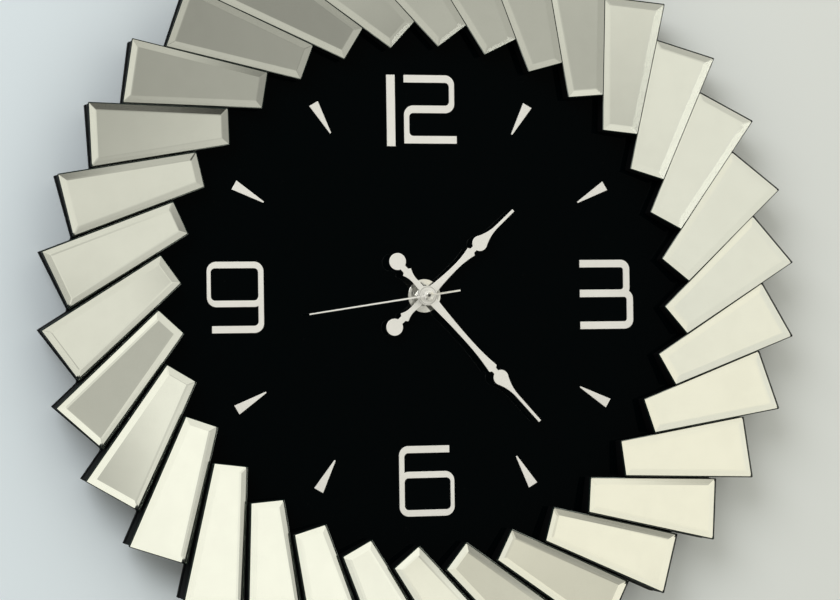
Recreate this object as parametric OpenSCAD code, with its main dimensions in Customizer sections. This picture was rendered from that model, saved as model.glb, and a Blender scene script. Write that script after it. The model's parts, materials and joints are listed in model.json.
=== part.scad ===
// Wall clock with a black glass dial inside a swirling ring of tilted, bevelled mirrors.
// Millimetres. +Z is up, the dial faces -Y, and the origin is on the dial axis in the wall plane.

/* [Ring of mirrors] */
// Diameter over the outer corners of the saw-tooth board
overall_d = 600; // [560:5:660]
// Number of mirrors round the dial
mirror_count = 32; // [24:1:40]
// Length of a mirror along its own axis
mirror_len = 106; // [90:0.5:112]
// Gap between neighbouring mirrors, seen from the front
mirror_gap = 1.5; // [1.2:0.1:5]
// Lean of a mirror's long edge away from the radius through its outer corner
mirror_swirl = 27.4; // [18:0.2:34]
// Angle of the outer corner of the first mirror, clockwise from twelve
mirror_start = -4.4; // [-11:0.1:11]
// Tilt of a mirror about its raised long edge
mirror_tilt = 11.4; // [6:0.2:14]
// Height of the raised mirror edge above the dial face
mirror_rise = 20.5; // [18:0.5:26]
// Thickness of the glass at the outer edge of the bevel
mirror_edge_t = 2.6; // [2:0.1:4]
// Width of the ground bevel
bevel_w = 5.7; // [3:0.1:8]
// Rise of the bevel from the edge up to the flat of the mirror
bevel_rise = 0.8; // [0.4:0.1:2]
// Thickness of the glue under a mirror
glue_t = 0.2; // [0.1:0.05:0.5]
// How far a riser block stands back from the edges of its tooth and of its mirror
block_inset = 0.3; // [0.2:0.1:2]

/* [Board and dial] */
// Thickness of the saw-tooth board
board_t = 9; // [6:0.5:15]
// How far the board reaches past the raised edge of a mirror
board_margin = 0.6; // [0.2:0.1:2]
// How far a mirror reaches past the outer end of its tooth
mirror_past = 0.9; // [0:0.1:2]
// Radius in the notches of the board
notch_r = 2.5; // [1:0.25:4]
// How far the rim of the glass dial reaches under the riser blocks
dial_lap = 5.5; // [3:0.5:20]
// Thickness of the glass dial
dial_t = 4; // [3:0.5:6]
// Room round the rim of the dial
rim_clearance = 0.4; // [0.2:0.1:1]

/* [Dial marks] */
// Thickness of the applied numerals and hour wedges
mark_t = 1; // [0.6:0.1:2]
// Radius that the outer ends of the marks reach
mark_outer_r = 172; // [165:0.5:180]
// How far the three, the six and the nine stand back from that radius
numeral_back = 1; // [0:0.1:3]
// Height of the three, the six and the nine
numeral_h = 54.6; // [45:0.2:60]
// Width of the three, the six and the nine
numeral_w = 44; // [36:0.2:48]
// Stroke of the level bars of the two and the three
bar_stroke = 5.9; // [4.5:0.1:8]
// Stroke of the upright bars of the two, the six and the nine
stem_stroke = 4.1; // [3:0.1:6]
// Stroke of the upright bars of the three
three_stem = 5.2; // [4:0.1:7]
// Stroke of the level bars of the six and the nine
loop_bar = 5; // [4:0.1:7]
// Stroke of the free side of the loop of the six and the nine
loop_stem = 3; // [2:0.1:5]
// Stroke of the open end of the six and the nine
tail_bar = 5.5; // [4:0.1:7]
// How far the open end of the six and the nine stops short of their width
tail_short = 3.7; // [0:0.1:8]
// Outer corner radius of a numeral
numeral_r = 7.4; // [6:0.1:9]
// Share of a numeral's height that the loop of the six and the nine takes
loop_share = 0.582; // [0.5:0.002:0.65]
// Share of its height that the upper bowl of the three takes
bowl_share = 0.486; // [0.44:0.002:0.5]
// How much narrower the upper bowl of the three is
bowl_step = 2.7; // [1:0.1:5]
// Width of the two
two_w = 42.1; // [36:0.1:48]
// Height of the two
two_h = 53.4; // [45:0.2:60]
// How much narrower the upper bowl of the two is
two_step = 1.6; // [0:0.1:4]
// Width of the plain bar that stands for one
one_w = 6.7; // [5:0.1:9]
// Height of the plain bar that stands for one
one_h = 55.6; // [45:0.2:60]
// Gap between the one and the two
digit_gap = 7.2; // [4:0.1:10]
// Length of an hour wedge
wedge_len = 26.4; // [18:0.2:34]
// Width of an hour wedge at its outer end
wedge_w = 7.8; // [5:0.1:10]
// Width of an hour wedge at its tip
wedge_tip_w = 1; // [0.6:0.1:2]

/* [Hands] */
// Thickness of the hour hand and the minute hand
hand_t = 0.8; // [0.5:0.1:1.2]
// Reach of the hour hand
hour_len = 97; // [85:0.5:110]
// Reach of the minute hand
minute_len = 133; // [115:0.5:142]
// Reach of the second hand
second_len = 95.5; // [80:0.5:130]
// Counter-end of the second hand
second_tail = 25.5; // [15:0.5:40]
// Width of the second hand
second_w = 1.3; // [1:0.1:2.5]
// Thickness of the second hand
second_t = 0.6; // [0.4:0.1:1]
// Distance from the axis to the ball on a hand's tail
tail_ball_at = 35.5; // [30:0.5:45]
// Radius of the ball on a hand's tail
tail_ball_r = 6.6; // [4:0.1:8]
// Radius of the hub disc of the hour and minute hands
hand_hub_r = 7.6; // [6:0.1:10]
// Half width of a hand where it leaves the hub
arm_half = 3.5; // [2.4:0.1:4]
// Radius of the rounded shoulders of a hand's spade
spade_r = 6; // [4.5:0.1:7]
// Half width of a hand's needle
needle_half = 1.2; // [0.8:0.05:1.8]
// Rest angle of the hour hand, clockwise from twelve
hour_angle = 47; // [0:1:359]
// Rest angle of the minute hand, clockwise from twelve
minute_angle = 138; // [0:1:359]
// Rest angle of the second hand, clockwise from twelve
second_angle = 261.7; // [0:0.1:359]
// Air between the threaded bush and the hour hand
hand_lift = 2; // [1:0.1:4]
// Air between one hand and the next
hand_gap = 2.7; // [1.5:0.1:4]

/* [Movement] */
// Wall of the movement case
case_wall = 1.5; // [1.2:0.1:2.2]
// Room for the spring of each battery contact
contact_leaf = 0.9; // [0.6:0.1:2.5]
// Thickness of the rear cover of the movement
cover_t = 1.5; // [1.2:0.1:2.2]
// Room between the movement and its window in the board
window_clearance = 0.8; // [0.4:0.1:2]
// Thickness of the rubber gasket between movement and dial
gasket_t = 1; // [0.6:0.1:2]
// Radius of the rubber gasket
gasket_r = 14; // [8:0.5:20]
// Radius of the threaded bush of the case
bush_r = 3.95; // [3.6:0.05:4.6]
// Thread of the bush left in front of its nut
thread_proud = 1.8; // [1:0.1:4]
// Running clearance round pipes and arbors
running_clearance = 0.05; // [0.03:0.01:0.08]
// Wall of the hour pipe
hour_pipe_wall = 0.85; // [0.6:0.05:1.1]
// Radius of the minute pipe
minute_pipe_r = 1.7; // [1.5:0.05:1.9]
// Radius of the second arbor
second_arbor_r = 0.75; // [0.6:0.05:0.85]
// Radius of the other arbors
arbor_r = 0.6; // [0.4:0.05:0.7]
// Thickness of a gear
gear_t = 1.2; // [0.8:0.05:1.4]
// Radius of the polished washer on the dial
washer_r = 13; // [9:0.5:16]
// Thickness of the washer
washer_t = 1.2; // [0.8:0.1:2]
// Width of the hexagon nut across its flats
nut_af = 13; // [11:0.5:15]
// Height of the hexagon nut
nut_h = 3; // [2:0.1:4]
// Radius of the setting knob
knob_r = 5.5; // [4:0.1:8]
// Height of the setting knob
knob_h = 2.8; // [2:0.1:4]

/* [Wall fittings] */
// Room between the setting knob and the wall
wall_room = 0.8; // [0.5:0.1:6]
// Radius of a rubber bumper
bumper_r = 12; // [8:0.5:16]
// How far the middles of the bumpers lie in from the outer corners
bumper_in = 75; // [60:1:150]
// How far the middle of the hanger lies in from the outer corners
hanger_in = 110; // [90:1:180]
// Width of the hanger plate
hanger_w = 60; // [50:1:80]
// Height of the hanger plate
hanger_h = 26; // [24:0.5:36]
// Thickness of the hanger plate
hanger_t = 1.5; // [1:0.1:2]
// Radius of the round opening in the hanger for a screw head
keyhole_r = 5; // [4.4:0.1:6]
// Half width of the keyhole's narrow slot
keyslot_half = 2.4; // [2:0.1:3]
// Radius of a hanger screw's shank
screw_r = 1.5; // [1.2:0.1:2]
// Radius of a hanger screw's head
screw_head_r = 3.2; // [2.6:0.1:4]
// Board left in front of the tips of the hanger screws
screw_cover = 2.5; // [1.5:0.1:3.5]

/* [Hidden] */
mirror_name = function (k) str("mirror_", k < 10 ? "0" : "", k);
$fn = 64;
ring_fn = 180;

// Overshoot of a cutting shape, and the close fits
over = 1;
fit_gap = 0.02;
bush_room = 0.15;
thread_gap = 0.05;

// One cell of 14.2 by 50.2 sets the size of the movement case
cell_r = 7.1;
cell_len = 49.2;
nub_r = 2.6;
nub_len = 1;
cell_room = 0.3;
contact_t = 0.5;
case_w = cell_len + nub_len + 2 * (contact_leaf + contact_t + case_wall);
case_t = case_wall + cell_room + 2 * cell_r;
knob_gap = 0.4;

// Heights along the dial axis, counted from the wall
standoff = wall_room + knob_h + knob_gap + case_t + gasket_t - board_t;
board_back_z = standoff;
board_front_z = board_back_z + board_t;
dial_z = board_front_z + dial_t;
case_front_z = board_front_z - gasket_t;
case_rear_z = case_front_z - case_t;
inside_front_z = case_front_z - case_wall;
inside_rear_z = case_rear_z + cover_t;
bush_proud = washer_t + nut_h + thread_proud;
hour_hand_h = bush_proud + hand_lift;
minute_hand_h = hour_hand_h + hand_t + hand_gap;
second_hand_h = minute_hand_h + hand_t + hand_gap;

// Stands the clock up: what was built facing +Z faces -Y
module upright() {
    rotate([90, 0, 0]) children();
}

// Plan geometry of one mirror. Its frame has the board's outer corner at the origin
// and the raised long edge running along +y.
pitch = 360 / mirror_count;
end_slant = pitch / 2;
function turned(v, a) = [v.x * cos(a) - v.y * sin(a), v.x * sin(a) + v.y * cos(a)];
function cross_z(a, b) = a.x * b.y - a.y * b.x;
function meeting(p, d, q, e) = p + d * (cross_z(q - p, e) / cross_z(d, e));
axis_centre = -overall_d / 2 * [sin(mirror_swirl), cos(mirror_swirl)];
function about_axis(v, a) = axis_centre + turned(v - axis_centre, a);
edge_dir = [0, 1];
end_dir = turned([-1, 0], end_slant);
long_dir = turned([0, 1], end_slant);
side_dir = turned([0, 1], pitch);
mirror_corner = [-board_margin, mirror_past];
far_side = about_axis(mirror_corner, pitch) + mirror_gap * turned([1, 0], pitch);

// Corners of the mirror drawn in by inset: outer raised, inner raised, inner low, outer low.
// Its raised edge and its outer end can start from another corner.
function tile(inset, corner = mirror_corner) =
    let (raised = corner - [inset, 0],
         outer = corner - inset * long_dir,
         inner = mirror_corner - (mirror_len - inset) * long_dir,
         low = far_side + inset * turned([1, 0], pitch))
    [
        meeting(raised, edge_dir, outer, end_dir),
        meeting(raised, edge_dir, inner, end_dir),
        meeting(low, side_dir, inner, end_dir),
        meeting(low, side_dir, outer, end_dir)
    ];

// The dial runs under the inner corners that lie farthest out
inner_corners = [tile(0)[1], tile(0)[2]];
dial_r = max([for (p = inner_corners) norm(p - axis_centre)]) + dial_lap;

// Carries a shape from a mirror's frame to its place in the ring
module in_ring(k) {
    rotate([0, 0, -mirror_start - (k - 1) * pitch])
        translate([0, overall_d / 2, 0])
            rotate([0, 0, mirror_swirl]) children();
}

// Carries a shape to the plane of the tilted mirror, hinged on its raised edge
module on_tilt() {
    translate([-board_margin, 0, dial_z + mirror_rise]) rotate([0, -mirror_tilt, 0]) children();
}

// A corner of the plan measured in the tilted plane, at height z over the bevel's outer edge
function in_plane(p, z) = [(p.x + board_margin) / cos(mirror_tilt), p.y, z];

module mirror_tile(k) {
    low = [for (p = tile(0)) in_plane(p, -mirror_edge_t)];
    rim = [for (p = tile(0)) in_plane(p, 0)];
    flat = [for (p = tile(bevel_w)) in_plane(p, bevel_rise)];
    n = len(rim);
    sides = [for (i = [0 : n - 1], row = [0, n]) let (j = (i + 1) % n)
        [row + i, row + j, row + n + j, row + n + i]];
    base = [for (i = [0 : n - 1]) n - 1 - i];
    top = [for (i = [0 : n - 1]) 2 * n + i];
    color("silver") upright() in_ring(k) on_tilt()
        polyhedron(concat(low, rim, flat), concat([base], sides, [top]));
}

module riser_blocks() {
    cut_size = overall_d / 2;
    color("black") upright() difference() {
        for (k = [1 : mirror_count])
            in_ring(k) difference() {
                translate([0, 0, board_front_z])
                    linear_extrude(dial_t + mirror_rise) polygon(tile(block_inset, [0, 0]));
                on_tilt() translate([-cut_size / 2, -cut_size, -mirror_edge_t - glue_t])
                    cube([cut_size, 2 * cut_size, cut_size]);
            }
        translate([0, 0, board_front_z - dial_t])
            cylinder(r = dial_r + rim_clearance, h = 2 * dial_t, $fn = ring_fn);
    }
}

// Notch between one tooth and the next one, clockwise, with its rounded bottom
next_corner = about_axis([0, 0], -pitch);
next_end = turned(end_dir, -pitch);
next_out = turned(long_dir, -pitch);
notch_centre = meeting([notch_r, 0], edge_dir, next_corner + notch_r * next_out, next_end);
notch_turn = acos(next_out * [1, 0]);
notch_steps = 6;
function notch(i) = notch_centre + notch_r * turned([-1, 0], i / notch_steps * (180 - notch_turn));

// A point of the mirror's frame in the plan of the whole ring
function ring_point(p, k) =
    turned([0, overall_d / 2] + turned(p, mirror_swirl), -mirror_start - (k - 1) * pitch);

board_outline = [for (k = [1 : mirror_count]) each concat(
    [ring_point([0, 0], k)], [for (i = [0 : notch_steps]) ring_point(notch(i), k)])];

module back_board() {
    window = case_w + 2 * window_clearance;
    pocket_r = keyhole_r + keyslot_len - keyslot_half;
    pocket_t = board_t - pocket_floor;
    color("black") upright() translate([0, 0, board_back_z]) difference() {
        linear_extrude(board_t) polygon(board_outline);
        translate([-window / 2, -window / 2, -over]) cube([window, window, board_t + 2 * over]);
        translate([0, hanger_up, -over]) cylinder(r = pocket_r, h = pocket_t + over);
        for (side = [-1, 1])
            translate([side * hanger_screw_x, hanger_up, -over])
                cylinder(r = screw_r + fit_gap, h = screw_len - hanger_t + tip_room + over);
    }
}

module dial_glass() {
    color("black") upright() translate([0, 0, board_front_z]) difference() {
        cylinder(r = dial_r, h = dial_t, $fn = ring_fn);
        translate([0, 0, -over]) cylinder(r = bush_r + bush_room, h = dial_t + 2 * over);
    }
}

// Inner corners are rounded about the same middle as the outer ones, as far as the stroke allows
least_inner_r = 1;
function inner_r(stroke) = max(numeral_r - stroke, least_inner_r);

module rounded(w, h, r) {
    for (x = [r, w - r], y = [r, h - r]) translate([x, y]) circle(r);
    translate([r, 0]) square([w - 2 * r, h]);
    translate([0, r]) square([w, h - 2 * r]);
}

// A rectangle whose right corners are rounded
module right_rounded(w, h, r) {
    for (y = [r, h - r]) translate([w - r, y]) circle(r);
    square([w - r, h]);
    translate([w - r, r]) square([r, h - 2 * r]);
}

// A bowl that is open to the left: two level bars and an upright one, with rounded right corners
module open_left(w, h, stem, upper, lower) {
    difference() {
        right_rounded(w, h, numeral_r);
        translate([-over, lower])
            right_rounded(w - stem + over, h - upper - lower, inner_r(stem));
    }
}

// Height of the loop that the six and the nine share, and of their open part
loop_h = (numeral_h + loop_bar) * loop_share;
open_h = numeral_h - loop_h + loop_bar;

// The nine: a closed loop on top, and a tail that turns back under it
module nine() {
    translate([0, numeral_h - loop_h]) difference() {
        rounded(numeral_w, loop_h, numeral_r);
        translate([loop_stem, loop_bar])
            rounded(numeral_w - loop_stem - stem_stroke, loop_h - 2 * loop_bar, inner_r(stem_stroke));
    }
    translate([numeral_w - stem_stroke, numeral_r]) square([stem_stroke, numeral_h - 2 * numeral_r]);
    intersection() {
        open_left(numeral_w, open_h, stem_stroke, loop_bar, tail_bar);
        translate([tail_short, 0]) square([numeral_w, open_h / 2]);
    }
}

module six() {
    translate([numeral_w, numeral_h]) rotate(180) nine();
}

module three() {
    upper_h = (numeral_h + bar_stroke) * bowl_share;
    lower_h = numeral_h + bar_stroke - upper_h;
    open_left(numeral_w, lower_h, three_stem, bar_stroke, bar_stroke);
    translate([0, numeral_h - upper_h])
        open_left(numeral_w - bowl_step, upper_h, three_stem, bar_stroke, bar_stroke);
}

// The two: open to the left above, and to the right below, with a square foot. Each half of its
// middle bar belongs to one bowl, so that both ends of the bar are rounded.
module two() {
    half_h = (two_h + bar_stroke) / 2;
    bar_y = two_h - half_h;
    lap = bar_stroke / 2;
    difference() {
        translate([0, bar_y]) open_left(two_w - two_step, half_h, stem_stroke, bar_stroke, bar_stroke);
        translate([-over, bar_y - over]) square([two_w / 2 + over, bar_stroke + 2 * over]);
    }
    difference() {
        translate([two_w, half_h]) rotate(180)
            open_left(two_w, half_h, stem_stroke, bar_stroke, bar_stroke);
        translate([two_w / 2 + lap, bar_y - over]) square([two_w, bar_stroke + 2 * over]);
    }
    square([numeral_r, bar_stroke]);
    square([stem_stroke, half_h / 2]);
}

hours = 12;
numeral_every = 3;

module hour_wedge() {
    tip_r = mark_outer_r - wedge_len;
    polygon([[-wedge_w / 2, mark_outer_r], [-wedge_tip_w / 2, tip_r],
             [wedge_tip_w / 2, tip_r], [wedge_w / 2, mark_outer_r]]);
}

module dial_marks() {
    twelve_w = one_w + digit_gap + two_w;
    numeral_reach = mark_outer_r - numeral_back;
    color("silver") upright() translate([0, 0, dial_z]) {
        linear_extrude(mark_t) translate([-twelve_w / 2, mark_outer_r]) {
            translate([0, -one_h]) square([one_w, one_h]);
            translate([one_w + digit_gap, -two_h]) two();
        }
        linear_extrude(mark_t) translate([numeral_reach - numeral_w, -numeral_h / 2]) three();
        linear_extrude(mark_t) translate([-numeral_w / 2, -numeral_reach]) six();
        linear_extrude(mark_t) translate([-numeral_reach, -numeral_h / 2]) nine();
        for (hour = [1 : hours]) if (hour % numeral_every > 0)
            rotate(-360 / hours * hour) linear_extrude(mark_t) hour_wedge();
    }
}

// Shared outline of the two spade hands. Distances along a hand are set from its tip and its hub.
spade_from_tip = [37.8, 46.5];
shoulder_turn = 35;
collar_from_spade = 9.6;
collar_half = 4;
collar_lip = 1.4;
neck_half = 2.1;
waist_half = 2;
waist_share = 0.6;
taper_len = 16;
taper_steps = 8;
needle_tip_half = 1.1;
tail_root_half = 2.6;
tail_waist_half = 2.1;
tail_waist_share = 0.5;
tail_collar_half = 4.3;
tail_neck_half = 2.4;
ball_from_collar = 11;
flare_steps = 6;

// Outline of a hand from half widths along it, mirrored about its long axis
module hand_strip(halves) {
    right = [for (p = halves) [p[1], p[0]]];
    left = [for (i = [len(halves) - 1 : -1 : 0]) [-halves[i][1], halves[i][0]]];
    polygon(concat(right, left));
}

// Half widths that run out from a waist to an end in a smooth curve, without the waist itself
function flare(waist, end) = [for (i = [1 : flare_steps]) let (s = i / flare_steps)
    [waist[0] + s * (end[0] - waist[0]), waist[1] + pow(s, 2) * (end[1] - waist[1])]];
function backwards(points) = [for (i = [len(points) - 1 : -1 : 0]) points[i]];

module spade_hand(reach, spade_at, bore) {
    collar_at = spade_at - collar_from_spade;
    waist = [hand_hub_r + waist_share * (collar_at - hand_hub_r), waist_half];
    tail_collar_at = tail_ball_at - ball_from_collar;
    tail_waist = [hand_hub_r + tail_waist_share * (tail_collar_at - hand_hub_r), tail_waist_half];
    shoulder_half = spade_r * cos(shoulder_turn);
    shoulder_at = spade_at + spade_r * sin(shoulder_turn);
    difference() {
        union() {
            circle(hand_hub_r);
            hand_strip(concat(
                [[0, arm_half]], backwards(flare(waist, [hand_hub_r, arm_half])), [waist],
                flare(waist, [collar_at, collar_half]),
                [[collar_at + collar_lip, neck_half], [spade_at, neck_half]]));
            translate([0, spade_at]) circle(spade_r);
            hand_strip(concat(
                [for (i = [0 : taper_steps]) let (s = i / taper_steps)
                    [shoulder_at + s * taper_len,
                     needle_half + (shoulder_half - needle_half) * pow(1 - s, 2)]],
                [[reach, min(needle_tip_half, needle_half)]]));
            rotate(180) hand_strip(concat(
                [[0, tail_root_half], tail_waist], flare(tail_waist, [tail_collar_at, tail_collar_half]),
                [[tail_collar_at + collar_lip, tail_neck_half], [tail_ball_at, tail_neck_half]]));
            translate([0, -tail_ball_at]) circle(tail_ball_r);
        }
        circle(bore);
    }
}

module hour_hand() {
    color("silver") upright() translate([0, 0, dial_z + hour_hand_h]) rotate(-hour_angle)
        linear_extrude(hand_t) spade_hand(hour_len, hour_len - spade_from_tip[0], hour_pipe_r + fit_gap);
}

module minute_hand() {
    color("silver") upright() translate([0, 0, dial_z + minute_hand_h]) rotate(-minute_angle)
        linear_extrude(hand_t)
            spade_hand(minute_len, minute_len - spade_from_tip[1], minute_pipe_r + fit_gap);
}

second_cap_r = 3.9;
second_boss_r = 2.3;
second_boss_h = 1;
second_tip_share = 0.8;

module second_hand() {
    color("silver") upright() translate([0, 0, dial_z + second_hand_h]) rotate(-second_angle)
        difference() {
            union() {
                linear_extrude(second_t) {
                    circle(second_cap_r);
                    hand_strip([[-second_tail, second_w / 2], [0, second_w / 2],
                                [second_len, second_tip_share * second_w / 2]]);
                }
                cylinder(r = second_boss_r, h = second_t + second_boss_h);
            }
            translate([0, 0, -over])
                cylinder(r = second_arbor_r + fit_gap, h = second_t + fit_gap + over);
        }
}

module dial_washer() {
    color("gainsboro") upright() translate([0, 0, dial_z]) difference() {
        cylinder(r = washer_r, h = washer_t);
        translate([0, 0, -over]) cylinder(r = bush_r + bush_room, h = washer_t + 2 * over);
    }
}

nut_sides = 6;

module bush_nut() {
    corner_r = nut_af / 2 / cos(180 / nut_sides);
    color("gainsboro") upright() translate([0, 0, dial_z + washer_t]) difference() {
        cylinder(r = corner_r, h = nut_h, $fn = nut_sides);
        translate([0, 0, -over]) cylinder(r = bush_r + thread_gap, h = nut_h + 2 * over);
    }
}

module rubber_gasket() {
    color("dimgray") upright() translate([0, 0, case_front_z]) difference() {
        cylinder(r = gasket_r, h = gasket_t);
        translate([0, 0, -over]) cylinder(r = bush_r + bush_room, h = gasket_t + 2 * over);
    }
}

// Gears: involute flanks with a stub addendum, thinned by the backlash
pressure_angle = 25;
addendum = 0.8;
dedendum = 1.1;
backlash = 0.06;
function involute_angle(r, base_r) =
    let (roll = sqrt(max(pow(r / base_r, 2) - 1, 0))) roll * 180 / PI - atan(roll);
function tooth_half(r, teeth, mod) =
    let (pitch_r = mod * teeth / 2, base_r = pitch_r * cos(pressure_angle))
    90 / teeth - backlash / 2 / pitch_r * 180 / PI
        + involute_angle(pitch_r, base_r) - involute_angle(r, base_r);
function polar(r, a) = [r * cos(a), r * sin(a)];

// Blank of a gear whose first tooth points at the angle turn, counted from +x
module gear_outline(teeth, mod, turn) {
    radii = [mod * (teeth / 2 - dedendum), mod * teeth / 2, mod * (teeth / 2 + addendum)];
    polygon([for (i = [0 : teeth - 1]) let (at = turn + 360 * i / teeth) each concat(
        [for (r = radii) polar(r, at - tooth_half(r, teeth, mod))],
        [for (j = [2 : -1 : 0]) polar(radii[j], at + tooth_half(radii[j], teeth, mod))])]);
}

// Turn of a gear that meshes with another one lying in the direction away_from
function meshed(turn, teeth, mate_teeth, towards) =
    towards + 180 - 180 / mate_teeth + (towards - turn) * teeth / mate_teeth;

// Tooth counts of the train: 30 to 1 from rotor to seconds, 60 to 1 to minutes, 12 to 1 to hours
rotor_teeth = 10;
intermediate_teeth = [60, 10];
second_teeth = [50, 10];
third_teeth = [75, 10];
centre_teeth = 80;
cannon_teeth = 12;
motion_teeth = [36, 10];
hour_teeth = 40;

// Where the arbors stand, as distance and direction from the one before
third_at = 9.6;
third_dir = 100;
intermediate_at = 10;
intermediate_dir = 20;
rotor_from_intermediate = 7;
rotor_dir = 60;
motion_at = 9.6;
motion_dir = 180;
third_xy = polar(third_at, third_dir);
intermediate_xy = polar(intermediate_at, intermediate_dir);
rotor_xy = intermediate_xy + polar(rotor_from_intermediate, rotor_dir);
motion_xy = polar(motion_at, motion_dir);

// Modules that follow from the distances
centre_mod = 2 * third_at / (centre_teeth + third_teeth[1]);
third_mod = 2 * third_at / (third_teeth[0] + second_teeth[1]);
second_mod = 2 * intermediate_at / (second_teeth[0] + intermediate_teeth[1]);
rotor_mod = 2 * rotor_from_intermediate / (intermediate_teeth[0] + rotor_teeth);
cannon_mod = 2 * motion_at / (cannon_teeth + motion_teeth[0]);
hour_mod = 2 * motion_at / (hour_teeth + motion_teeth[1]);

// Turns that set the teeth of each pair into each other's gaps
third_pinion_turn = meshed(0, centre_teeth, third_teeth[1], third_dir);
second_pinion_turn = meshed(0, third_teeth[0], second_teeth[1], third_dir + 180);
intermediate_pinion_turn = meshed(0, second_teeth[0], intermediate_teeth[1], intermediate_dir);
rotor_turn = meshed(0, intermediate_teeth[0], rotor_teeth, rotor_dir);
motion_wheel_turn = meshed(0, cannon_teeth, motion_teeth[0], motion_dir);
hour_wheel_turn = meshed(0, motion_teeth[1], hour_teeth, motion_dir + 180);

// Layers of the train, counted back from the inside of the case front
hour_layer = 1;
cannon_layer = 2;
centre_layer = 3;
third_layer = 4;
second_layer = 5;
rotor_layer = 6;
layer_gap = 0.45;
function layer_z(i) = inside_front_z - i * (gear_t + layer_gap);

module gear(layer, teeth, mod, turn) {
    translate([0, 0, layer_z(layer)]) linear_extrude(gear_t) gear_outline(teeth, mod, turn);
}

// Pivots run a little way into the case front and the cover
pivot_depth = 0.8;
pivot_play = 0.1;
hour_pipe_r = minute_pipe_r + running_clearance + hour_pipe_wall;

module arbor(r) {
    low = inside_rear_z - pivot_depth + pivot_play;
    translate([0, 0, low]) cylinder(r = r, h = inside_front_z + pivot_depth - pivot_play - low);
}

// Pipe along the dial axis from a layer of the train out to a height over the dial
module pipe(outer, inner, from_z, over_dial) {
    translate([0, 0, from_z]) difference() {
        cylinder(r = outer, h = dial_z + over_dial - from_z);
        translate([0, 0, -over]) cylinder(r = inner, h = dial_z + over_dial - from_z + 2 * over);
    }
}

module hour_wheel() {
    bore = minute_pipe_r + running_clearance;
    color("white") upright() {
        pipe(hour_pipe_r, bore, layer_z(hour_layer), hour_hand_h + hand_t);
        difference() {
            gear(hour_layer, hour_teeth, hour_mod, hour_wheel_turn);
            translate([0, 0, layer_z(cannon_layer)]) cylinder(r = hour_pipe_r - fit_gap, h = case_t);
        }
    }
}

module centre_wheel() {
    bore = second_arbor_r + running_clearance;
    color("white") upright() {
        pipe(minute_pipe_r, bore, layer_z(centre_layer), minute_hand_h + hand_t);
        difference() {
            union() {
                gear(cannon_layer, cannon_teeth, cannon_mod, 0);
                translate([0, 0, layer_z(centre_layer)])
                    cylinder(r = minute_pipe_r + layer_gap, h = gear_t + layer_gap);
                gear(centre_layer, centre_teeth, centre_mod, 0);
            }
            translate([0, 0, layer_z(third_layer)]) cylinder(r = minute_pipe_r - fit_gap, h = case_t);
        }
    }
}

module second_wheel() {
    low = inside_rear_z - pivot_depth + pivot_play;
    color("white") upright() {
        translate([0, 0, low])
            cylinder(r = second_arbor_r, h = dial_z + second_hand_h + second_t - low);
        gear(third_layer, second_teeth[1], third_mod, second_pinion_turn);
        gear(second_layer, second_teeth[0], second_mod, 0);
    }
}

module third_wheel() {
    color("white") upright() translate(third_xy) {
        arbor(arbor_r);
        gear(centre_layer, third_teeth[1], centre_mod, third_pinion_turn);
        gear(third_layer, third_teeth[0], third_mod, 0);
    }
}

module intermediate_wheel() {
    color("white") upright() translate(intermediate_xy) {
        arbor(arbor_r);
        gear(second_layer, intermediate_teeth[1], second_mod, intermediate_pinion_turn);
        gear(rotor_layer, intermediate_teeth[0], rotor_mod, 0);
    }
}

module motion_wheel() {
    color("white") upright() translate(motion_xy) {
        translate([0, 0, knob_z + knob_h / 2])
            cylinder(r = arbor_r, h = inside_front_z + pivot_depth - pivot_play - knob_z - knob_h / 2);
        gear(hour_layer, motion_teeth[1], hour_mod, 0);
        gear(cannon_layer, motion_teeth[0], cannon_mod, motion_wheel_turn);
    }
}

// Step motor: a round magnet in the hole of the stator, and a coil on the stator's core
magnet_r = 3;
magnet_gap = 0.4;
magnet_t = 2.6;
stator_t = gear_t;
stator_z = layer_z(third_layer);
stator_x = [7.6, 24];
stator_low_y = 5.8;
stator_leg = 2.6;
core_y = 19.6;
core_w = 2.4;
coil_r = 3.9;
coil_room = 0.15;

module rotor() {
    color("dimgray") upright() translate(rotor_xy) {
        arbor(arbor_r);
        translate([0, 0, stator_z + stator_t / 2 - magnet_t / 2]) cylinder(r = magnet_r, h = magnet_t);
        gear(rotor_layer, rotor_teeth, rotor_mod, rotor_turn);
    }
}

module stator() {
    yoke_top = rotor_xy.y + magnet_r + magnet_gap + stator_leg / 2;
    color("gray") upright() translate([0, 0, stator_z]) linear_extrude(stator_t) difference() {
        union() {
            translate([stator_x[0], stator_low_y])
                square([stator_x[1] - stator_x[0], yoke_top - stator_low_y]);
            for (x = [stator_x[0], stator_x[1] - stator_leg])
                translate([x, stator_low_y]) square([stator_leg, core_y + core_w / 2 - stator_low_y]);
            translate([stator_x[0], core_y - core_w / 2]) square([stator_x[1] - stator_x[0], core_w]);
        }
        translate(rotor_xy) circle(magnet_r + magnet_gap);
    }
}

module coil() {
    from_x = stator_x[0] + stator_leg + coil_room;
    to_x = stator_x[1] - stator_leg - coil_room;
    color("peru") upright() difference() {
        translate([from_x, core_y, stator_z + stator_t / 2]) rotate([0, 90, 0])
            cylinder(r = coil_r, h = to_x - from_x);
        translate([from_x - over, core_y - core_w / 2 - coil_room, stator_z - coil_room])
            cube([to_x - from_x + 2 * over, core_w + 2 * coil_room, stator_t + 2 * coil_room]);
    }
}

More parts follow.
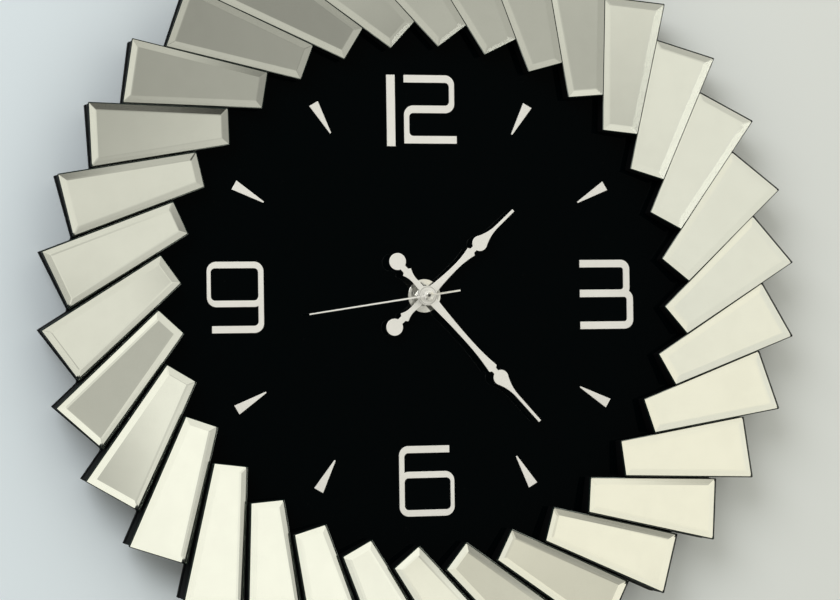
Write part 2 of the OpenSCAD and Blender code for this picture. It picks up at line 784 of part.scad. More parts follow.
// Posts that carry the stator and the circuit board off the case front
post_r = 1.4;
stator_posts = [for (x = [stator_x[0] + stator_leg / 2, stator_x[1] - stator_leg / 2]) [x, core_y]];
circuit_xy = [-25, 13];
circuit_w = 13;
circuit_h = 11.5;
circuit_t = 1;
circuit_z = stator_z;
post_in = 2;
circuit_posts = [for (x = [post_in, circuit_w - post_in]) circuit_xy + [x, circuit_h / 2]];
crystal_r = 1;
crystal_len = 6;
chip_w = 5;
chip_t = 1.2;
chip_in = 1;

module circuit_board() {
    color("darkgreen") upright() translate([circuit_xy.x, circuit_xy.y, circuit_z]) {
        cube([circuit_w, circuit_h, circuit_t]);
        translate([circuit_w / 2 - chip_w / 2, chip_in, -chip_t]) cube([chip_w, chip_w, chip_t]);
        translate([circuit_w / 2 - crystal_len / 2, circuit_h - 2 * crystal_r, -crystal_r + fit_gap])
            rotate([0, 90, 0]) cylinder(r = crystal_r, h = crystal_len);
    }
}

// The battery bay fills the lower part of the case and is open to the rear
bay_h = 2 * (cell_r + cell_room);
bay_low_y = -case_w / 2 + case_wall;
bay_top_y = bay_low_y + bay_h;
train_low_y = bay_top_y + case_wall;
inner_half = case_w / 2 - case_wall;
cell_y = bay_low_y + bay_h / 2;
cell_z = inside_front_z - cell_room - cell_r;
cell_minus_x = -(cell_len + nub_len) / 2;

module movement_case() {
    shell_t = case_t - cover_t;
    shell_z = case_front_z - shell_t;
    color("black") upright() {
        difference() {
            translate([-case_w / 2, -case_w / 2, shell_z]) cube([case_w, case_w, shell_t]);
            translate([-inner_half, train_low_y, shell_z - over])
                cube([2 * inner_half, inner_half - train_low_y, inside_front_z - shell_z + over]);
            translate([-inner_half, bay_low_y, shell_z - over])
                cube([2 * inner_half, bay_h, inside_front_z - shell_z + over]);
            for (at = [third_xy, intermediate_xy, rotor_xy, motion_xy])
                translate([at.x, at.y, inside_front_z - over])
                    cylinder(r = arbor_r + running_clearance, h = pivot_depth + over);
            translate([0, 0, shell_z]) cylinder(r = hour_pipe_r + running_clearance, h = shell_t + over);
        }
        translate([0, 0, case_front_z]) difference() {
            cylinder(r = bush_r, h = gasket_t + dial_t + bush_proud);
            translate([0, 0, -over])
                cylinder(r = hour_pipe_r + running_clearance, h = gasket_t + dial_t + bush_proud + 2 * over);
        }
        for (at = stator_posts)
            translate([at.x, at.y, stator_z + stator_t])
                cylinder(r = post_r, h = inside_front_z - stator_z - stator_t);
        for (at = circuit_posts)
            translate([at.x, at.y, circuit_z + circuit_t])
                cylinder(r = post_r, h = inside_front_z - circuit_z - circuit_t);
    }
}

module movement_cover() {
    low_y = bay_top_y;
    color("dimgray") upright() difference() {
        translate([-case_w / 2, low_y, case_rear_z]) cube([case_w, case_w / 2 - low_y, cover_t]);
        for (at = [third_xy, intermediate_xy, rotor_xy])
            translate([at.x, at.y, inside_rear_z - pivot_depth])
                cylinder(r = arbor_r + running_clearance, h = pivot_depth + over);
        translate([0, 0, inside_rear_z - pivot_depth])
            cylinder(r = second_arbor_r + running_clearance, h = pivot_depth + over);
        translate([motion_xy.x, motion_xy.y, case_rear_z - over])
            cylinder(r = arbor_r + running_clearance, h = cover_t + 2 * over);
    }
}

module battery() {
    color("darkolivegreen") upright() translate([cell_minus_x, cell_y, cell_z]) rotate([0, 90, 0]) {
        cylinder(r = cell_r, h = cell_len);
        translate([0, 0, cell_len]) cylinder(r = nub_r, h = nub_len);
    }
}

contact_h = 10;
contact_w = 8;

module battery_contacts() {
    color("silver") upright() for (side = [-1, 1])
        translate([side * inner_half, cell_y, cell_z]) mirror([side > 0 ? 1 : 0, 0, 0]) {
            translate([0, -contact_h / 2, -contact_w / 2]) cube([contact_t, contact_h, contact_w]);
            translate([contact_t, -contact_h / 4, -contact_w / 4])
                cube([contact_leaf, contact_h / 2, contact_w / 2]);
        }
}

knob_z = case_rear_z - knob_gap - knob_h;
knurl_count = 24;
knurl_depth = 0.5;

module setting_knob() {
    color("white") upright() translate([motion_xy.x, motion_xy.y, knob_z]) difference() {
        linear_extrude(knob_h) polygon([for (i = [0 : 2 * knurl_count - 1])
            polar(knob_r - (i % 2) * knurl_depth, 180 * i / knurl_count)]);
        translate([0, 0, knob_h / 2]) cylinder(r = arbor_r + fit_gap, h = knob_h);
    }
}

// Keyhole hanger screwed to the back of the board over a round pocket
hanger_up = overall_d / 2 - hanger_in;
hanger_z = board_back_z - hanger_t;
hanger_edge = 2;
hanger_screw_x = hanger_w / 2 - screw_head_r - hanger_edge;
screw_head_t = 1.6;
screw_len = hanger_t + board_t - screw_cover;
tip_room = 0.3;
pocket_floor = 2;
keyslot_len = keyhole_r + keyslot_half;
keyhole_drop = keyslot_len / 3;

module wall_hanger() {
    corner = hanger_h / 4;
    color("silver") upright() translate([0, hanger_up, hanger_z]) difference() {
        linear_extrude(hanger_t) translate([-hanger_w / 2, -hanger_h / 2])
            rounded(hanger_w, hanger_h, corner);
        translate([0, -keyhole_drop, -over]) cylinder(r = keyhole_r, h = hanger_t + 2 * over);
        translate([-keyslot_half, -keyhole_drop, -over])
            cube([2 * keyslot_half, keyslot_len, hanger_t + 2 * over]);
        translate([0, keyslot_len - keyhole_drop, -over]) cylinder(r = keyslot_half, h = hanger_t + 2 * over);
        for (side = [-1, 1])
            translate([side * hanger_screw_x, 0, -over])
                cylinder(r = screw_r + fit_gap, h = hanger_t + 2 * over);
    }
}

module hanger_screws() {
    color("gray") upright() for (side = [-1, 1])
        translate([side * hanger_screw_x, hanger_up, hanger_z]) {
            cylinder(r = screw_r, h = screw_len);
            translate([0, 0, -screw_head_t]) cylinder(r = screw_head_r, h = screw_head_t);
        }
}

bumper_count = 4;
bumper_at = overall_d / 2 - bumper_in;

module wall_bumpers() {
    color("dimgray") upright() for (i = [0 : bumper_count - 1])
        rotate(360 * (i + 1 / 2) / bumper_count) translate([bumper_at, 0, 0])
            cylinder(r = bumper_r, h = standoff);
}

back_board();
riser_blocks();
dial_glass();
dial_marks();
hour_hand();
minute_hand();
second_hand();
dial_washer();
bush_nut();
rubber_gasket();
movement_case();
movement_cover();
hour_wheel();
centre_wheel();
second_wheel();
motion_wheel();
third_wheel();
intermediate_wheel();
rotor();
stator();
coil();
circuit_board();
battery();
battery_contacts();
setting_knob();
wall_hanger();
hanger_screws();
wall_bumpers();
for (k = [1 : mirror_count]) mirror_tile(k);
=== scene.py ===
# %% [markdown]
# # A wall clock in a ring of mirrors
#
# The clock is a black glass dial inside a ring of thirty-two bevelled mirrors, each one tilted, so that
# the ring looks like a pinwheel. The measured solids of every piece are loaded first and never moved.
# This file gives each piece its finish, and its fine edges where the plain solid is too sharp.

# %% Load the measured clock
import json
import math

import bmesh
import bpy
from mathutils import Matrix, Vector

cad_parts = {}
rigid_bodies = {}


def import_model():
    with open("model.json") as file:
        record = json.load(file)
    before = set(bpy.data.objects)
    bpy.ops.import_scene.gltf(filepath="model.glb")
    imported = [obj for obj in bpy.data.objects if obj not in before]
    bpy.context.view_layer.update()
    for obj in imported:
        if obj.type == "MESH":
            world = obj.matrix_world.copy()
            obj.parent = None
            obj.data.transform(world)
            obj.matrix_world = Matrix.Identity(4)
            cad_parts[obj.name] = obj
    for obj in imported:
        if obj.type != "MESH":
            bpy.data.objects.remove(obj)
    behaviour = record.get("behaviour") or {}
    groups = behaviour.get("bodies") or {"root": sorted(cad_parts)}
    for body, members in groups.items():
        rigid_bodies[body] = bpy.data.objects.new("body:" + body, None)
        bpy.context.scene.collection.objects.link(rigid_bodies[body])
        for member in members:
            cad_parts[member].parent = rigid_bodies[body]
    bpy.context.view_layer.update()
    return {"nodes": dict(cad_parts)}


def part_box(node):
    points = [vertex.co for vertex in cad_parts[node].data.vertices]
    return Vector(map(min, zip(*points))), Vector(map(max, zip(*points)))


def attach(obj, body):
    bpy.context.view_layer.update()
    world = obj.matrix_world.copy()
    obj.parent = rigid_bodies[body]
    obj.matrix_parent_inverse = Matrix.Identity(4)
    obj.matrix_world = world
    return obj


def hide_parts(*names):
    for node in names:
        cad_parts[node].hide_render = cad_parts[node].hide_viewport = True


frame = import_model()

nodes = frame["nodes"]

# %% [markdown]
# ## Camera
#
# A long lens from about two metres away, a little to the left of the dial's axis and a little below it.
# A camera can be aimed with a constraint, but plain numbers for its place and its turn are easier to
# repeat. The lens follows from the distance: a far camera with a long lens keeps the ring nearly round.

# %% Set the camera
lens = bpy.data.cameras.new("camera")
lens.sensor_width = 36.0
lens.lens = 115.49
camera = bpy.data.objects.new("camera", lens)
camera.location = (-0.5288, -2.0521, -0.0489)
camera.rotation_euler = [math.radians(turn) for turn in (91.2507, 0.8244, -14.5165)]
bpy.context.collection.objects.link(camera)
bpy.context.scene.camera = camera
bpy.context.scene.view_settings.view_transform = "Standard"
dial_middle = Vector((0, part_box("dial_glass")[0][1], 0))
print("camera:", round((camera.location - dial_middle).length, 3), "m from the middle of the dial")

# %% [markdown]
# ## Sums on sockets
#
# A finish is a little graph of nodes. Linking nodes by hand takes a line for each wire, so this class
# wraps a socket and lets Python's own signs add the Math nodes: `1 - mask * 0.5` is a sum of sockets.
# One method, `node`, makes any other node: its type first, then its settings, then the values or wires
# of its sockets.

# %% Define the wire
class Wire:
    """A socket of a node graph. Sums on it add Math nodes."""

    def __init__(self, tree, socket=None):
        self.tree = tree
        self.socket = socket

    def node(self, kind, settings=None, inputs=None, out=0):
        made = self.tree.nodes.new(kind)
        for name, value in (settings or {}).items():
            setattr(made, name, value)
        for name, value in (inputs or {}).items():
            if isinstance(value, Wire):
                self.tree.links.new(value.socket, made.inputs[name])
            else:
                made.inputs[name].default_value = value
        return Wire(self.tree, made.outputs[out])

    def math(self, operation, first, second):
        return self.node("ShaderNodeMath", {"operation": operation}, {0: first, 1: second})

    def __add__(self, other):
        return self.math("ADD", self, other)

    def __radd__(self, other):
        return self.math("ADD", other, self)

    def __sub__(self, other):
        return self.math("SUBTRACT", self, other)

    def __rsub__(self, other):
        return self.math("SUBTRACT", other, self)

    def __mul__(self, other):
        return self.math("MULTIPLY", self, other)

    def __rmul__(self, other):
        return self.math("MULTIPLY", other, self)

    def step(self, low, high):
        """Runs smoothly from 0 at low to 1 at high."""
        return self.node("ShaderNodeMapRange", {"interpolation_type": "SMOOTHSTEP"},
                         {"Value": self, "From Min": low, "From Max": high})

    def tint(self, none, full):
        """Mixes two colours, with this wire as the share of the second."""
        return self.node("ShaderNodeMix", {"data_type": "RGBA"}, {0: self, 6: none, 7: full}, out=2)


def tone(red, green, blue):
    """A colour as it is read off a screen, 0 to 255, in the linear light that shaders take."""
    shares = [v / 255 for v in (red, green, blue)]
    return [((v + 0.055) / 1.055) ** 2.4 if v > 0.04 else v / 12.92 for v in shares] + [1.0]


print("mid grey on screen is", [round(v, 3) for v in tone(128, 128, 128)], "in linear light")

# %% [markdown]
# ## Light all round
#
# Mirrors show what stands in front of them, so the light of the world matters more here than lamps do.
# A picture of a studio could be wrapped round the scene, but a few soft shapes on a calm grey are
# enough: a room that is lighter on the right, a bright panel to the right, pale light from above with a
# creamier glow in it, and one dark quiet place where the glossy dial looks, so that the dial stays
# black. A few dim places make neighbouring mirrors and their bevels differ, as they do in any real
# room. A patch is told by its direction: how far to the right, how far up, and between how many degrees
# it fades out. The camera itself sees a plain pale background.

# %% Make the world and a patch of light
world = bpy.data.worlds.new("studio")
world.use_nodes = True
bpy.context.scene.world = world
sky = Wire(world.node_tree)
heading = sky.node("ShaderNodeTexCoord", out="Generated")
right, up = (sky.node("ShaderNodeSeparateXYZ", None, {0: heading}, out=axis) for axis in "XZ")


def patch(rightward, upward, full, none):
    """A round patch of sky: 1 up to `full` degrees from its middle, 0 from `none` degrees on."""
    across, rise = math.radians(rightward), math.radians(upward)
    way = (math.sin(across) * math.cos(rise), -math.cos(across) * math.cos(rise), math.sin(rise))
    nearness = sky.node("ShaderNodeVectorMath", {"operation": "DOT_PRODUCT"},
                        {0: heading, 1: way}, out="Value")
    return nearness.step(math.cos(math.radians(none)), math.cos(math.radians(full)))


print("a direction has", right.socket.name, "to the right and", up.socket.name, "upwards")

# %% [markdown]
# The levels below are shares of full white, and right and up run from -1 to 1. The light above and the
# light below are mixed first, then the dim places are taken off, and last the quiet place is darkened.
# Each dim place is a patch, followed by the share of light that it takes off.

# %% Mix the light of the world
left_light, right_gain, panel_light, above_light = 0.42, 0.3, 0.97, 0.755
cream_gain, quiet_depth = 0.11, 0.94
room = left_light + right.step(-0.15, 0.35) * right_gain
ceiling = (up + right * 0.2).step(0.10, 0.265)
panel = right.step(0.43, 0.50) * (1 - right.step(0.72, 0.88))
low_light = room + (panel_light - room) * panel
dim_places = [
    (2, -14.5, 4, 10, 0.2), (25, -16, 1, 4, 0.26), (32, 10.5, 1, 5, 0.26), (8.5, -26, 2, 6, 0.48),
    (14.5, -24, 1, 6, 0.2), (27.5, 5.5, 2, 5.5, 0.5), (24, -8.5, 1.5, 5, 0.2), (13, -11.5, 1, 5, 0.12),
]
dim = sum(patch(*where) * depth for *where, depth in dim_places)
quiet = patch(14.5, 1.4, 7, 10)
cream = patch(27, 17, 2, 18)
high_light = above_light + cream * cream_gain
level = (low_light + (high_light - low_light) * ceiling - dim) * (1 - quiet * quiet_depth)
warm = cream.tint((1.02, 1.0, 0.9, 1), (1.05, 1.0, 0.85, 1))
lit = level.node("ShaderNodeVectorMath", {"operation": "SCALE"}, {0: warm, "Scale": level})
seen = sky.node("ShaderNodeLightPath", out="Is Camera Ray")
backdrop_colour = seen.tint(lit, tone(236, 238, 238))
world.node_tree.links.new(backdrop_colour.socket, world.node_tree.nodes["Background"].inputs["Color"])
print("nodes in the world's light:", len(world.node_tree.nodes))

# %% [markdown]
# ## Lamps
#
# One broad soft lamp stands up on the left, so that hands and mirrors throw a faint shadow to the lower
# right. The bright panel of the world fills in from the right, and a second lamp lights the back. Broad
# lamps give soft edges, as large diffusers do in a studio.

# %% Hang two soft lamps
def soft_lamp(name, place, across, watts):
    lamp = bpy.data.lights.new(name, "AREA")
    lamp.shape = "DISK"
    lamp.size = across
    lamp.energy = watts
    holder = bpy.data.objects.new(name, lamp)
    holder.location = place
    holder.rotation_euler = (Vector((0, 0, 0)) - Vector(place)).to_track_quat("-Z", "Y").to_euler()
    bpy.context.collection.objects.link(holder)


soft_lamp("lamp_left", (-2.0, -2.6, 2.0), 2.4, 57)
soft_lamp("lamp_behind", (0.6, 2.6, 1.6), 2.4, 30)

# %% [markdown]
# ## Wall and floor
#
# The clock hangs on a pale wall over a pale floor. Both are flat sheets that show only their front:
# seen from behind they are clear, so the back of the clock can be looked at too. The mix of a plain
# shader and a clear one is switched by which side of the sheet is met. The sheets take the clock's
# shadow, but they throw none and bounce no soft light back, so the lamps and the world alone set how
# bright it is. Mirrors still see them.

# %% Put up the wall and the floor
def paint_sheet(name, left_painted_light_tone, right_painted_light_tone):
    material = bpy.data.materials.new(name)
    material.use_nodes = True
    wire = Wire(material.node_tree)
    place = wire.node("ShaderNodeTexCoord", out="Object")
    mottle = wire.node("ShaderNodeTexNoise", None, {"Vector": place, "Scale": 1.2, "Detail": 3.0})
    across = wire.node("ShaderNodeSeparateXYZ", None, {0: place}, out="X")
    # Painted light: the colour runs from a bluer tone on the left to a more neutral tone on the right,
    # standing in for how the light falls across the sheet; the mottle wavers the line where they meet.
    colour = (across + mottle * 0.2 - 0.1).step(-0.4, 0.4).tint(left_painted_light_tone, right_painted_light_tone)
    paint = wire.node("ShaderNodeBsdfDiffuse", None, {"Color": colour})
    clear = wire.node("ShaderNodeBsdfTransparent")
    behind = wire.node("ShaderNodeNewGeometry", out="Backfacing")
    mixed = wire.node("ShaderNodeMixShader", None, {0: behind, 1: paint, 2: clear})
    out = material.node_tree.nodes["Material Output"]
    material.node_tree.links.new(mixed.socket, out.inputs["Surface"])
    return material


def sheet(name, corners, material):
    mesh = bpy.data.meshes.new(name)
    bm = bmesh.new()
    bm.faces.new([bm.verts.new(corner) for corner in corners])
    bm.to_mesh(mesh)
    bm.free()
    mesh.materials.append(material)
    made = bpy.data.objects.new(name, mesh)
    bpy.context.collection.objects.link(made)
    made.visible_shadow = False
    made.visible_diffuse = False


half, wall_top, floor_z, floor_front, floor_back = 6, 4, -1.6, -2.4, 6
wall_y = 0.0005
# Both sheets carry painted light: the wall is bluer on the left, the floor a little lighter on the right.
wall_paint = paint_sheet("wall_paint", tone(226, 237, 246), tone(230, 234, 233))
floor_paint = paint_sheet("floor_paint", tone(214, 212, 206), tone(219, 217, 211))
sheet("wall", [(-half, wall_y, floor_z), (half, wall_y, floor_z),
               (half, wall_y, wall_top), (-half, wall_y, wall_top)], wall_paint)
sheet("floor", [(-half, floor_front, floor_z), (half, floor_front, floor_z),
                (half, floor_back, floor_z), (-half, floor_back, floor_z)], floor_paint)
print("wall behind the bumpers by", wall_y * 1000, "mm; floor", -floor_z, "m under the dial's axis")

# %% [markdown]
# ## Finishes
#
# Each finish starts from the standard shader. What changes over the surface, such as a smudge or a
# grain, feeds its colour, its roughness or its bump; what is the same everywhere is set as a plain
# value. All the patterns read object coordinates, which are metres here, so a noise scale of 1000 is a
# grain of a millimetre.

# %% Helpers for finishes
def finish(name):
    material = bpy.data.materials.new(name)
    material.use_nodes = True
    return material, Wire(material.node_tree).node("ShaderNodeTexCoord", out="Object")


def dress(material, sockets):
    shader = material.node_tree.nodes["Principled BSDF"]
    for name, value in sockets.items():
        if isinstance(value, Wire):
            material.node_tree.links.new(value.socket, shader.inputs[name])
        else:
            shader.inputs[name].default_value = value
    return material


def noise(place, scale, detail=2.0):
    return place.node("ShaderNodeTexNoise", None, {"Vector": place, "Scale": scale, "Detail": detail})


def stretched(place, x, y, z):
    return place.node("ShaderNodeMapping", None, {"Vector": place, "Scale": (x, y, z)})


def bump(height, strength, distance):
    return height.node("ShaderNodeBump", None,
                       {"Height": height, "Strength": strength, "Distance": distance})


print("helpers for finishes are ready")

# %% [markdown]
# ### Mirror glass
#
# A mirror is clear glass with silver behind it. A plain shiny metal shows the same picture on the flat,
# but not on a bevel: there the slanting glass bends the light on its way in and out, so that the bevel
# shows the room as if it leaned the other way. So the front is real glass here, with its index of
# refraction, and only the back is silver. A clean mirror still carries faint wiping marks, which change
# how sharp the picture is. The ground edge of the glass is dark green, and its stoned arris is frosted.

# %% Mirror finishes
clear_glass, place = finish("clear_glass")
wiping = noise(stretched(place, 1.0, 1.0, 0.35), 26, 4.0).step(0.5, 0.72)
dress(clear_glass, {"Base Color": wiping.tint((0.985, 1.0, 0.985, 1), (0.965, 0.98, 0.965, 1)),
                    "Roughness": wiping * 0.012, "IOR": 1.52, "Transmission Weight": 1.0})

silver, place = finish("silver_layer")
mottle = noise(place, 60, 3.0)
dress(silver, {"Base Color": mottle.step(0.3, 0.7).tint((0.945, 0.955, 0.9, 1), (0.965, 0.975, 0.92, 1)),
               "Roughness": 0.006 + mottle * 0.008, "Metallic": 1.0})

glass_edge, place = finish("ground_glass_edge")
streak = noise(place, 220, 3.0)
edge_tone = streak.step(0.3, 0.7).tint((0.004, 0.009, 0.008, 1), (0.012, 0.022, 0.019, 1))
dress(glass_edge, {"Base Color": edge_tone,
                   "Roughness": 0.22 + streak * 0.15, "IOR": 1.52, "Specular IOR Level": 0.03})

arris, place = finish("stoned_arris")
streak = noise(place, 160, 3.0)
dress(arris, {"Base Color": streak.step(0.3, 0.7).tint((0.2, 0.23, 0.21, 1), (0.32, 0.36, 0.33, 1)),
              "Roughness": 0.35 + streak * 0.2, "IOR": 1.52})
print("mirror finishes:", clear_glass.name, silver.name, glass_edge.name, arris.name)

# %% [markdown]
# ### Black glass, black lacquer
#
# The dial is glass painted black on its back: deep black, very glossy, with specks of dust that barely
# show. The board and the blocks are lacquered: black too, but softer, with the slight unevenness of
# sprayed paint. The back of the board is bare fibreboard, dyed dark. One finish serves both sides,
# because the direction of the surface tells which side it is.

# %% Black finishes
black_glass, place = finish("black_glass")
dust = noise(place, 900, 2.0).step(0.74, 0.8)
haze = noise(place, 14, 4.0).step(0.45, 0.75)
dress(black_glass, {"Base Color": dust.tint((0.0002, 0.0011, 0.0014, 1), (0.008, 0.009, 0.009, 1)),
                    "Roughness": 0.02 + haze * 0.02 + dust * 0.2, "IOR": 1.5, "Specular IOR Level": 0.35})

lacquer, place = finish("black_lacquer")
peel = noise(place, 420, 2.0)
normal = place.node("ShaderNodeTexCoord", out="Normal")
facing = place.node("ShaderNodeSeparateXYZ", None, {0: normal}, out="Y")
bare = facing.step(0.6, 0.8)
fibre = noise(stretched(place, 1.0, 1.0, 3.0), 300, 5.0)
dyed = fibre.step(0.3, 0.7).tint((0.022, 0.019, 0.016, 1), (0.06, 0.052, 0.045, 1))
dress(lacquer, {"Base Color": bare.tint((0.0035, 0.004, 0.0045, 1), dyed),
                "Roughness": 0.5 + peel * 0.12 + bare * 0.3, "Specular IOR Level": 0.008,
                "Normal": bump(peel + fibre * bare * 2.0, 0.12, 0.0002)})
print("black finishes:", black_glass.name, lacquer.name)

# %% [markdown]
# ### Silver marks and hands, polished hub
#
# The numerals, wedges and hands are stamped from thin sheet and finished in satin silver: pale, soft
# and a little grainy, so they look light from everywhere. A full metal would turn dark where it mirrors
# something dark, so the finish is only part metal. A thin dark ring is painted on the hub of a hand,
# just inside its rim, as painted shade that stands in for a fine turned groove: the distance from the
# dial's axis says where. The washer, the nut and the middle cap are polished, and do mirror.

# %% Silver finishes
satin, place = finish("satin_silver")
grain = noise(stretched(place, 1.0, 1.0, 0.12), 2600, 3.0)
cloud = noise(place, 30, 3.0)
flat = stretched(place, 1.0, 0.0, 1.0)
from_axis = place.node("ShaderNodeVectorMath", {"operation": "LENGTH"}, {0: flat}, out="Value")
# Painted shade: the ring between these two distances from the axis is painted darker, standing in for the
# shade in a turned groove; no groove is cut.
line_in, line_out, line_fade = 0.0062, 0.0069, 0.0004
line_ends = from_axis.step(line_out, line_out + line_fade)
groove_painted_shade = from_axis.step(line_in, line_in + line_fade) * (1 - line_ends)
silver_tone = cloud.step(0.3, 0.7).tint((0.885, 0.88, 0.85, 1), (0.935, 0.93, 0.905, 1))
dress(satin, {"Base Color": (groove_painted_shade * 0.6).tint(silver_tone, (0.3, 0.3, 0.28, 1)),
              "Metallic": 0.32, "Roughness": 0.36 + grain * 0.16, "Normal": bump(grain, 0.1, 0.00005)})

polished, place = finish("polished_metal")
scuff = noise(place, 500, 4.0)
dress(polished, {"Base Color": scuff.step(0.4, 0.7).tint((0.86, 0.86, 0.83, 1), (0.78, 0.78, 0.75, 1)),
                 "Metallic": 1.0, "Roughness": 0.07 + scuff * 0.1})
print("silver finishes:", satin.name, polished.name)

# %% [markdown]
# ### Plastics, rubber and plated steel
#
# The works at the back are plain: a black moulded case with a fine spark-eroded grain, white wheels and
# knob, black rubber, and zinc-plated steel for the hanger and its screws. Moulded plastic shows its
# grain only in its highlights, so the grain goes into the bump and the roughness, and hardly into the
# colour.

# %% Finishes of the works
def moulded(name, dark, light, grain_scale, rough, height):
    material, place = finish(name)
    grain = noise(place, grain_scale, 3.0)
    cloud = noise(place, 45, 3.0)
    return dress(material, {"Base Color": cloud.step(0.3, 0.7).tint(dark, light),
                            "Roughness": rough - 0.08 + grain * 0.16, "Normal": bump(grain, 0.25, height)})


def metal(name, dark, light, rough, x, y, z):
    material, place = finish(name)
    brushed = noise(stretched(place, x, y, z), 900, 4.0)
    return dress(material, {"Base Color": brushed.step(0.3, 0.7).tint(dark, light), "Metallic": 1.0,
                            "Roughness": rough + brushed * 0.14, "Normal": bump(brushed, 0.12, 0.00005)})


case_black = moulded("case_black", (0.011, 0.011, 0.012, 1), (0.017, 0.017, 0.018, 1), 1800, 0.55, 0.00012)
rubber = moulded("black_rubber", (0.013, 0.013, 0.013, 1), (0.022, 0.022, 0.022, 1), 900, 0.78, 0.0002)
white_plastic = moulded("white_plastic", (0.74, 0.74, 0.71, 1), (0.79, 0.79, 0.76, 1), 1500, 0.42, 0.00005)
magnet_grey = moulded("magnet_grey", (0.05, 0.05, 0.055, 1), (0.08, 0.08, 0.085, 1), 1500, 0.5, 0.0001)
plated = metal("zinc_plated_steel", (0.52, 0.53, 0.55, 1), (0.66, 0.67, 0.68, 1), 0.24, 1.0, 1.0, 0.1)
copper = metal("copper_wire", (0.68, 0.27, 0.13, 1), (0.8, 0.36, 0.19, 1), 0.25, 0.05, 1.0, 1.0)
laminate = moulded("green_laminate", (0.012, 0.07, 0.03, 1), (0.02, 0.1, 0.045, 1), 700, 0.4, 0.00005)
print("finishes in all:", len(bpy.data.materials))

# %% [markdown]
# ### Battery jacket
#
# A plain cell has a printed sleeve and bare steel ends. The sleeve could be a separate tube, but a band
# on the length of the cell does the same. The cell lies along x, so x alone says where the sleeve
# starts and stops.

# %% Battery finish
cell_low, cell_high = (Vector(corner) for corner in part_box("battery"))
jacket, place = finish("cell_jacket")
along = place.node("ShaderNodeSeparateXYZ", None, {0: place}, out="X")
sleeve_fade = 0.0002
start, stop, band_start = cell_low.x + 0.0012, cell_high.x - 0.0026, cell_high.x - 0.0152
sleeve = along.step(start, start + sleeve_fade) * (1 - along.step(stop, stop + sleeve_fade))
band = along.step(band_start, band_start + sleeve_fade)
print_grain = noise(place, 1200, 2.0)
sleeve_colour = band.tint((0.03, 0.09, 0.14, 1), (0.62, 0.6, 0.52, 1))
dress(jacket, {"Base Color": sleeve.tint((0.62, 0.62, 0.62, 1), sleeve_colour),
               "Metallic": 1 - sleeve * 0.8, "Roughness": 0.24 + print_grain * 0.08})
print("battery:", [round(v * 1000, 1) for v in cell_high - cell_low], "mm")

# %% [markdown]
# ## Fine edges
#
# Nothing stamped, ground or moulded has a truly sharp edge, and the thin light line along an edge is
# what makes a thing look real. So most pieces are a copy of their solid with its edges eased. The
# solids come as loose triangles: doubles are merged and flat areas joined first, and then the bevel
# operator rounds the edges that are sharper than a given angle. Each copy rides on the body that its
# solid belongs to, and stands in for that solid.

# %% Helpers for pieces
def merged(node):
    bm = bmesh.new()
    bm.from_mesh(nodes[node].data)
    bmesh.ops.remove_doubles(bm, verts=bm.verts, dist=1e-6)
    bmesh.ops.dissolve_limit(bm, angle_limit=math.radians(0.5), verts=bm.verts, edges=bm.edges)
    return bm


def ease(bm, width, segments=2, least=28, pick=None):
    bm.normal_update()
    sharp = [edge for edge in bm.edges if len(edge.link_faces) == 2
             and least < math.degrees(edge.calc_face_angle(0)) < 180 and (pick is None or pick(edge))]
    bmesh.ops.bevel(bm, geom=sharp, offset=width, offset_type="OFFSET", segments=segments, profile=0.5,
                    affect="EDGES", material=-1, clamp_overlap=True)
    bm.normal_update()
    return bm


def piece(bm, name, node, materials, smooth=32):
    mesh = bpy.data.meshes.new(name)
    bm.to_mesh(mesh)
    bm.free()
    for material in materials:
        mesh.materials.append(material)
    mesh.polygons.foreach_set("use_smooth", [smooth > 0] * len(mesh.polygons))
    if smooth:
        mesh.set_sharp_from_angle(angle=math.radians(smooth))
    made = bpy.data.objects.new(name, mesh)
    bpy.context.collection.objects.link(made)
    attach(made, nodes[node].parent.name.split(":")[1])
    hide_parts(node)


print("helpers for pieces are ready")

# %% [markdown]
# ### Mirrors
#
# Each mirror is cut from thick glass and ground with a wide bevel round its front. The sharp arrises
# are taken off with a stone, which leaves a thin frosted line round every mirror. Here the frosted
# finish is kept only along the low edge, as a painted highlight where that edge faces the light, and
# the arris of the raised edge takes the dark finish of the glass edge, as painted shade. The direction
# of a face says what it is: facing forward it is clear glass, aslant it is the arris, sideways the glass
# edge, and the back is the silver. The faces stay flat-shaded, because a mirror's picture breaks
# sharply at each edge.

# %% Make the mirrors
CLEAR, FROSTED_HIGHLIGHT, EDGE_AND_SHADE, SILVERED = range(4)
front_least, arris_least, edge_least = 0.8, 0.28, -0.9


# Painted light: arris faces on the low edge, nearer the wall, get the pale frosted finish as a painted
# highlight, and those of the raised edge get the dark glass-edge finish as painted shade.
def mirror_face(face, depth):
    forward = -face.normal.y
    if forward > front_least:
        return CLEAR
    if forward > arris_least:
        return FROSTED_HIGHLIGHT if face.calc_center_median().y > depth else EDGE_AND_SHADE
    return EDGE_AND_SHADE if forward > edge_least else SILVERED


# The second number is the share of the mirror's depth, from the front, beyond which the arris gets the
# pale finish as a painted highlight.
arris_w, highlight_from = 0.0006, 0.6
mirror_nodes = sorted(name for name in nodes if name.startswith("mirror_"))
for name in mirror_nodes:
    bm = ease(merged(name), arris_w, segments=1, least=60)
    near, far = (corner[1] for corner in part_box(name))
    for face in bm.faces:
        face.material_index = mirror_face(face, near + (far - near) * highlight_from)
    piece(bm, "bevelled_" + name, name, [clear_glass, arris, glass_edge, silver], smooth=0)
print("mirrors:", len(mirror_nodes))

# %% [markdown]
# ### Board, blocks and dial
#
# The saw-tooth board and the wedge blocks are sawn, sanded and sprayed, so their edges are slightly
# round. The dial is a plain disc of glass whose shape is right as it is, so it keeps its solid and only
# gets its finish.

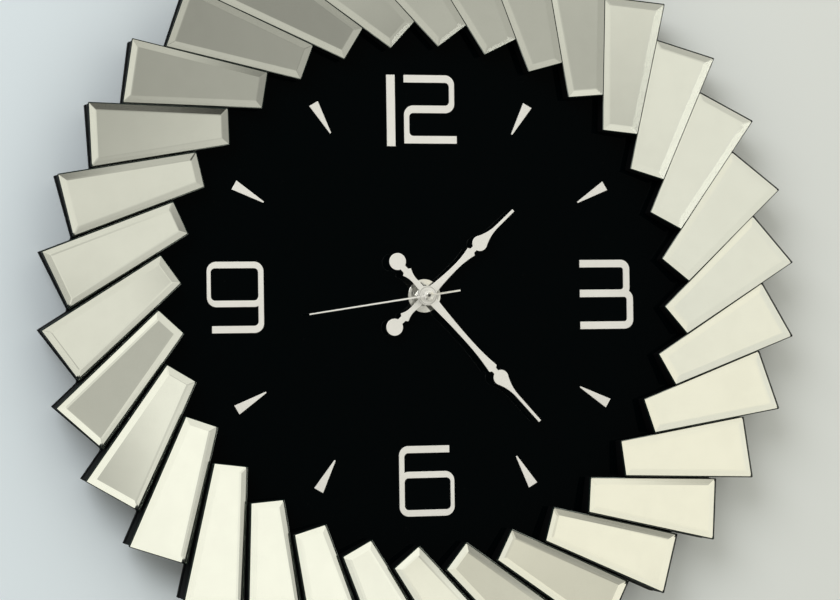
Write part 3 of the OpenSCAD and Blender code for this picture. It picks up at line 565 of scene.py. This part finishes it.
# %% Make the board and the blocks
piece(ease(merged("back_board"), 0.0005), "saw_tooth_board", "back_board", [lacquer])
piece(ease(merged("riser_blocks"), 0.0004), "wedge_blocks", "riser_blocks", [lacquer])

# %% [markdown]
# ### Numerals, wedges and hands
#
# Stamped sheet has a slightly rolled front edge where the punch went in. A bevel of a fifth of a
# millimetre is enough to catch the light. The round cap in the middle of the second hand is domed, so
# its top edge gets a much wider bevel in several steps.

# %% Make the marks and the hands
rolled = 0.00022
stamped = {"dial_marks": "numerals_and_wedges", "hour_hand": "hour_spade_hand",
           "minute_hand": "minute_spade_hand"}
for node, name in stamped.items():
    piece(ease(merged(node), rolled), name, node, [satin], smooth=15)

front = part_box("second_hand")[0][1]
second = merged("second_hand")
dome, thin_edge, cap_r = 0.0006, 0.00012, 0.0041
ease(second, dome, segments=4, pick=lambda edge: all(v.co.y < front + 1e-5 for v in edge.verts))
ease(second, thin_edge, segments=2, least=60)
for face in second.faces:
    middle = face.calc_center_median()
    face.material_index = int(math.hypot(middle.x, middle.z) < cap_r)
piece(second, "sweep_second_hand", "second_hand", [satin, polished])
print("front of the second hand:", round(-front * 1000, 2), "mm from the wall")

# %% [markdown]
# ### Hub and works
#
# A polished washer and a nut clamp the glass to the threaded bush of the movement. Behind, the case,
# its cover, the setting knob, the hanger, its screws and the rubber bumpers get their edges eased in
# the same way.

# %% Make the hub and the works
eased = [
    ("dial_washer", "polished_washer", 0.00035, "polished_metal", polished),
    ("bush_nut", "hexagon_nut", 0.0004, "polished_metal", polished),
    ("movement_case", "movement_box", 0.0005, "black_plastic", case_black),
    ("movement_cover", "movement_lid", 0.0004, "black_plastic", case_black),
    ("setting_knob", "setting_wheel", 0.0003, "white_plastic", white_plastic),
    ("wall_hanger", "keyhole_plate", 0.0003, "plain_steel", plated),
    ("hanger_screws", "plate_screws", 0.0005, "plain_steel", plated),
    ("wall_bumpers", "rubber_bumpers", 0.0012, "black_rubber", rubber),
    ("battery", "round_cell", 0.0004, "cell_jacket", jacket),
]
for node, name, width, slot, material in eased:
    piece(ease(merged(node), width, segments=3), name, node, [material])
print("eased pieces of the hub and the works:", len(eased))

# %% [markdown]
# ## Solids that keep their shape
#
# The dial and the small works inside the case are right as they are, and only take a finish.

# %% Dress the remaining solids
kept = {
    "dial_glass": black_glass, "rubber_gasket": rubber, "hour_wheel": white_plastic,
    "centre_wheel": white_plastic, "second_wheel": white_plastic, "motion_wheel": white_plastic,
    "third_wheel": white_plastic, "intermediate_wheel": white_plastic, "rotor": magnet_grey,
    "stator": plated, "coil": copper, "circuit_board": laminate, "battery_contacts": plated,
}
for node, material in kept.items():
    for slot in nodes[node].material_slots:
        slot.material = material
left_over = [name for name, solid in nodes.items() if name not in kept and not solid.hide_render]
print("solids dressed:", len(kept), "left without a finish:", left_over)
